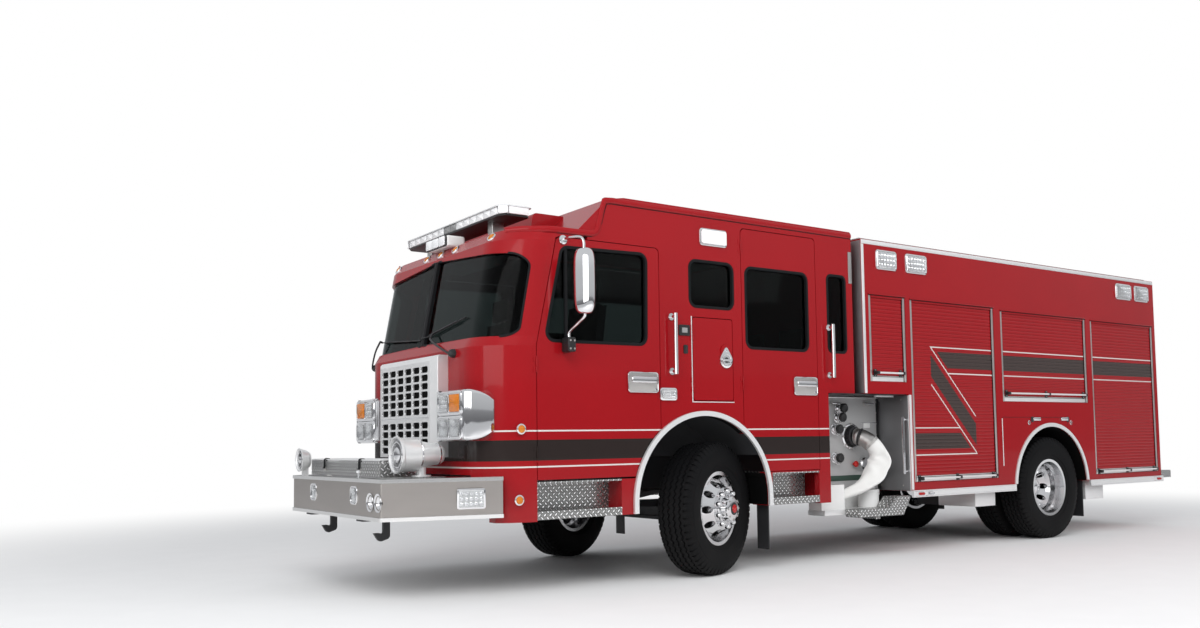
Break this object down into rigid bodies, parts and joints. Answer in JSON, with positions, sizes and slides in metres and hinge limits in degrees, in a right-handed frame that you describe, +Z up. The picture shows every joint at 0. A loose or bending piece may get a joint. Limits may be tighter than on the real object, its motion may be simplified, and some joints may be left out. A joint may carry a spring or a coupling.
{
  "type": "fire engine",
  "caption": "Pumper fire engine with a tilt cab, side pump bay, roll-up door body, steered front wheels, opening doors and hose bed lids.",
  "frame": {"origin": "on the ground, under the middle of the vehicle's length and width", "axes": "+X forward, +Y to the vehicle's left, +Z up"},
  "size_m": [9.815, 3.02, 2.975],
  "materials": {
    "chassis": "satin black",
    "wheel": "polished",
    "tyre": "matte",
    "engine": "painted dark",
    "underbody": "satin black",
    "red_paint": "gloss",
    "interior": "grained",
    "glass": "tinted",
    "chrome": "polished",
    "stainless": "brushed",
    "treadplate": "bright treadplate",
    "lamp": "clear lens over bright reflector",
    "hose_fabric": "woven jacket",
    "body_inner": "mill",
    "upholstery": "grained vinyl",
    "white_paint": "gloss"
  },
  "bodies": {
    "root": {"frame_rails": "chassis", "leaf_springs": "chassis", "front_axle": "chassis", "rear_axle": "chassis", "powertrain": "engine", "underbody": "underbody", "cab_front": "red_paint", "cab_sides": "red_paint", "cab_roof": "red_paint", "cab_rear": "red_paint", "cab_interior": "interior", "seats": "upholstery", "cab_glass": "glass", "front_bumper": "stainless", "tow_hooks": "chassis", "sirens": "chrome", "grille": "chrome", "headlights": "chrome", "lamps": "lamp", "grab_rails": "stainless", "steps": "treadplate", "side_trims": "chrome", "pump_panels": "stainless", "pump_fittings": "chrome", "suction_elbow": "underbody", "pump_tray": "white_paint", "hose": "hose_fabric", "body_sides": "red_paint", "body_ends": "red_paint", "hose_bed": "body_inner", "roll_up_doors": "red_paint"},
    "knuckle_left": {"knuckle_left": "chassis"},
    "front_wheel_left": {"front_wheel_left": "wheel", "front_tyre_left": "tyre"},
    "rear_wheels_left": {"rear_wheels_left": "wheel", "rear_tyres_left": "tyre"},
    "door_front_left": {"door_front_left": "red_paint", "door_glass_front_left": "glass", "mirror_left": "chrome"},
    "door_rear_left": {"door_rear_left": "red_paint", "door_glass_rear_left": "glass"},
    "locker_door_left": {"locker_door_left": "red_paint"},
    "hose_lid_left": {"hose_lid_left": "treadplate"},
    "knuckle_right": {"knuckle_right": "chassis"},
    "front_wheel_right": {"front_wheel_right": "wheel", "front_tyre_right": "tyre"},
    "rear_wheels_right": {"rear_wheels_right": "wheel", "rear_tyres_right": "tyre"},
    "door_front_right": {"door_front_right": "red_paint", "door_glass_front_right": "glass", "mirror_right": "chrome"},
    "door_rear_right": {"door_rear_right": "red_paint", "door_glass_rear_right": "glass"},
    "locker_door_right": {"locker_door_right": "red_paint"},
    "hose_lid_right": {"hose_lid_right": "treadplate"}
  },
  "joints": [
    {"name": "steer_left", "type": "hinge", "parent": "root", "child": "knuckle_left", "pos_m": [2.1925, 0.9, 0.538], "axis": [0, 0, 1], "range_deg": [-65, 25]},
    {"name": "spin_front_left", "type": "hinge", "parent": "knuckle_left", "child": "front_wheel_left", "pos_m": [2.12246, 1.08733, 0.538], "axis": [-0.3502, 0.9367, 0], "continuous": true},
    {"name": "spin_rear_left", "type": "hinge", "parent": "root", "child": "rear_wheels_left", "pos_m": [-2.4615, 0.8975, 0.538], "axis": [0, 1, 0], "continuous": true},
    {"name": "open_front_door_left", "type": "hinge", "parent": "root", "child": "door_front_left", "pos_m": [3.8315, 1.2, 1.3], "axis": [0, 0, -1], "range_deg": [0, 75]},
    {"name": "open_rear_door_left", "type": "hinge", "parent": "root", "child": "door_rear_left", "pos_m": [1.8545, 1.2, 1.8], "axis": [0, 0, -1], "range_deg": [0, 75]},
    {"name": "open_locker_left", "type": "hinge", "parent": "root", "child": "locker_door_left", "pos_m": [2.3855, 1.2, 1.75], "axis": [0, 0, -1], "range_deg": [0, 100]},
    {"name": "open_hose_lid_left", "type": "hinge", "parent": "root", "child": "hose_lid_left", "pos_m": [-2.1275, 1.176, 2.933], "axis": [-1, 0, 0], "range_deg": [0, 95]},
    {"name": "steer_right", "type": "hinge", "parent": "root", "child": "knuckle_right", "pos_m": [2.1925, -0.9, 0.538], "axis": [0, 0, 1], "range_deg": [-65, 25]},
    {"name": "spin_front_right", "type": "hinge", "parent": "knuckle_right", "child": "front_wheel_right", "pos_m": [2.26254, -1.08733, 0.538], "axis": [-0.3502, 0.9367, 0], "continuous": true},
    {"name": "spin_rear_right", "type": "hinge", "parent": "root", "child": "rear_wheels_right", "pos_m": [-2.4615, -0.8975, 0.538], "axis": [0, 1, 0], "continuous": true},
    {"name": "open_front_door_right", "type": "hinge", "parent": "root", "child": "door_front_right", "pos_m": [3.8315, -1.2, 1.3], "axis": [0, 0, 1], "range_deg": [0, 75]},
    {"name": "open_rear_door_right", "type": "hinge", "parent": "root", "child": "door_rear_right", "pos_m": [1.8545, -1.2, 1.8], "axis": [0, 0, 1], "range_deg": [0, 75]},
    {"name": "open_locker_right", "type": "hinge", "parent": "root", "child": "locker_door_right", "pos_m": [2.3855, -1.2, 1.75], "axis": [0, 0, 1], "range_deg": [0, 100]},
    {"name": "open_hose_lid_right", "type": "hinge", "parent": "root", "child": "hose_lid_right", "pos_m": [-2.1275, -1.176, 2.933], "axis": [1, 0, 0], "range_deg": [0, 95]}
  ],
  "couplings": [
    {"joint": "steer_right", "follows": "steer_left", "ratio": 1}
  ]
}
